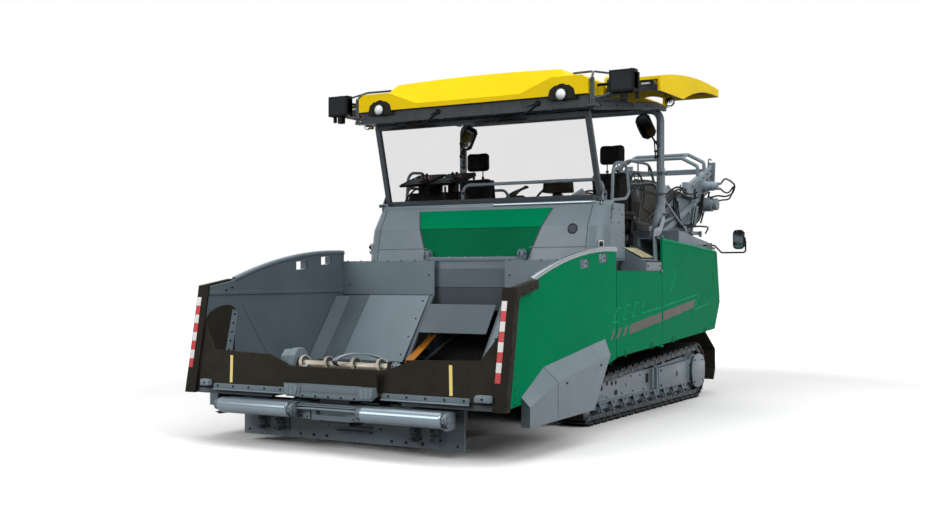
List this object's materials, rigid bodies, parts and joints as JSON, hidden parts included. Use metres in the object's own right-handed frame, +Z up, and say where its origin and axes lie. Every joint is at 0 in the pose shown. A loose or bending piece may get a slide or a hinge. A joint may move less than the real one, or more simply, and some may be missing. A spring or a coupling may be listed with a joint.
{
  "type": "material transfer vehicle",
  "caption": "Tracked material transfer vehicle with a folding hopper, roofed operator platform and rear belt conveyor",
  "frame": {"origin": "ground level under the middle of the overall length and width", "axes": "+Z up, -Y towards the hopper at the front, +Y towards the conveyor's discharge end, +X to the machine's left"},
  "size_m": [3.888, 8.464, 3.46],
  "materials": {
    "paint_grey": "satin",
    "paint_green": "gloss",
    "paint_yellow": "gloss",
    "rubber_black": "matte",
    "belt_rubber": "matte",
    "track_steel": "matte",
    "roller_steel": "satin",
    "wear_steel": "satin",
    "cast_metal": "matte",
    "black_plastic": "matte",
    "seat_vinyl": "satin",
    "clear_glass": "clear"
  },
  "bodies": {
    "chassis": {"belt_cover": "black_plastic", "control_console": "black_plastic", "conveyor_belt": "belt_rubber", "conveyor_frame": "paint_grey", "conveyor_hoses": "belt_rubber", "conveyor_trough": "paint_grey", "deck": "paint_grey", "discharge_hoops": "paint_grey", "engine_block": "cast_metal", "engine_hood": "paint_grey", "front_box": "rubber_black", "front_bulkhead": "paint_grey", "front_panel": "paint_green", "front_shell": "paint_grey", "handrails": "paint_grey", "left_side_panel": "paint_green", "left_track": "track_steel", "left_track_frame": "paint_grey", "main_frame": "paint_grey", "mudguards": "rubber_black", "push_plate": "paint_grey", "rear_mirrors": "black_plastic", "right_side_panel": "paint_green", "right_track": "track_steel", "right_track_frame": "paint_grey", "roof_flaps": "paint_yellow", "roof_frame": "paint_grey", "roof_mirrors": "black_plastic", "roof_portal": "paint_grey", "roof_shell": "paint_yellow", "windscreen_frame": "paint_grey", "windscreen_glass": "clear_glass", "windscreen_wipers": "black_plastic"},
    "left_hopper_half": {"left_hopper_wall": "paint_green", "left_hopper_tub": "paint_grey", "left_edge_guard": "rubber_black", "left_hopper_apron": "rubber_black", "left_skirt": "paint_grey"},
    "left_roller": {"left_push_roller": "roller_steel"},
    "left_door": {"left_service_door": "paint_green"},
    "left_operator_seat": {"left_seat": "seat_vinyl"},
    "right_hopper_half": {"right_hopper_wall": "paint_green", "right_hopper_tub": "paint_grey", "right_edge_guard": "rubber_black", "right_hopper_apron": "rubber_black", "right_skirt": "paint_grey"},
    "right_roller": {"right_push_roller": "roller_steel"},
    "right_door": {"right_service_door": "paint_green"},
    "right_operator_seat": {"right_seat": "seat_vinyl"},
    "rocker_beam": {"push_beam": "paint_grey"},
    "auger": {"feed_auger": "wear_steel"},
    "drum": {"head_drum": "wear_steel"}
  },
  "joints": [
    {"name": "left_hopper_fold", "type": "hinge", "parent": "chassis", "child": "left_hopper_half", "pos_m": [0.62, -3.106, 0.44], "axis": [0, -1, 0], "range_deg": [0, 20]},
    {"name": "left_door_hinge", "type": "hinge", "parent": "chassis", "child": "left_door", "pos_m": [1.5525, -0.624, 1.2], "axis": [0, 0, -1], "range_deg": [0, 100]},
    {"name": "left_seat_swivel", "type": "hinge", "parent": "chassis", "child": "left_operator_seat", "pos_m": [0.83, -0.471, 1.745], "axis": [0, 0, 1], "range_deg": [-30, 30]},
    {"name": "left_roller_spin", "type": "hinge", "parent": "rocker_beam", "child": "left_roller", "pos_m": [0.7475, -4.166, 0.345], "axis": [1, 0, 0], "continuous": true},
    {"name": "right_hopper_fold", "type": "hinge", "parent": "chassis", "child": "right_hopper_half", "pos_m": [-0.62, -3.106, 0.44], "axis": [0, 1, 0], "range_deg": [0, 20]},
    {"name": "right_door_hinge", "type": "hinge", "parent": "chassis", "child": "right_door", "pos_m": [-1.5525, -0.624, 1.2], "axis": [0, 0, 1], "range_deg": [0, 100]},
    {"name": "right_seat_swivel", "type": "hinge", "parent": "chassis", "child": "right_operator_seat", "pos_m": [-0.83, -0.471, 1.745], "axis": [0, 0, 1], "range_deg": [-30, 30]},
    {"name": "right_roller_spin", "type": "hinge", "parent": "rocker_beam", "child": "right_roller", "pos_m": [-0.7475, -4.166, 0.345], "axis": [1, 0, 0], "continuous": true},
    {"name": "push_beam_pivot", "type": "hinge", "parent": "chassis", "child": "rocker_beam", "pos_m": [0, -3.996, 0.33], "axis": [0, 0, 1], "range_deg": [-5, 5]},
    {"name": "auger_spin", "type": "hinge", "parent": "chassis", "child": "auger", "pos_m": [0, -3.876, 0.7], "axis": [1, 0, 0], "continuous": true},
    {"name": "drum_spin", "type": "hinge", "parent": "chassis", "child": "drum", "pos_m": [0, 3.374, 2.41], "axis": [1, 0, 0], "continuous": true}
  ]
}
